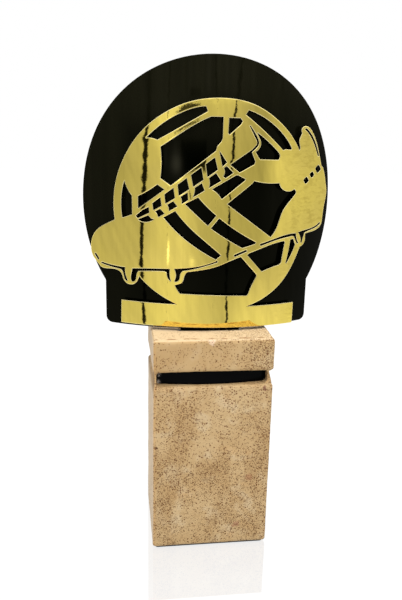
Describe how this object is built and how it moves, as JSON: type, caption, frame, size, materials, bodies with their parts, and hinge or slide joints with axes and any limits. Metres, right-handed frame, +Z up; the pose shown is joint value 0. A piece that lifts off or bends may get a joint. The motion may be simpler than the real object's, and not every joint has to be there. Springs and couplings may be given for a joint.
{
  "type": "figure trophy",
  "caption": "Curved black plate carrying a gold cut-out of a ball and a football boot, standing in a grooved stone-look column with a black inlay bar.",
  "frame": {"origin": "middle of the foot pad's underside, where the trophy rests", "axes": "+Z up, -Y the front that the figure faces, +X to the right seen from the front"},
  "size_m": [0.1685, 0.0654, 0.3266],
  "materials": {
    "stone": "cast, porous",
    "gloss_black": "gloss",
    "tape": "matt",
    "felt": "felt",
    "black_lacquer": "gloss",
    "resin": "matt",
    "foam": "foam",
    "mirror_gold": "mirror"
  },
  "bodies": {
    "root": {"stone_column": "stone", "inlay_bar": "gloss_black", "bar_tape": "tape", "foot_pad": "felt", "back_plate": "black_lacquer", "slot_adhesive": "resin", "mounting_pads": "foam", "gold_figure": "mirror_gold"}
  },
  "joints": []
}
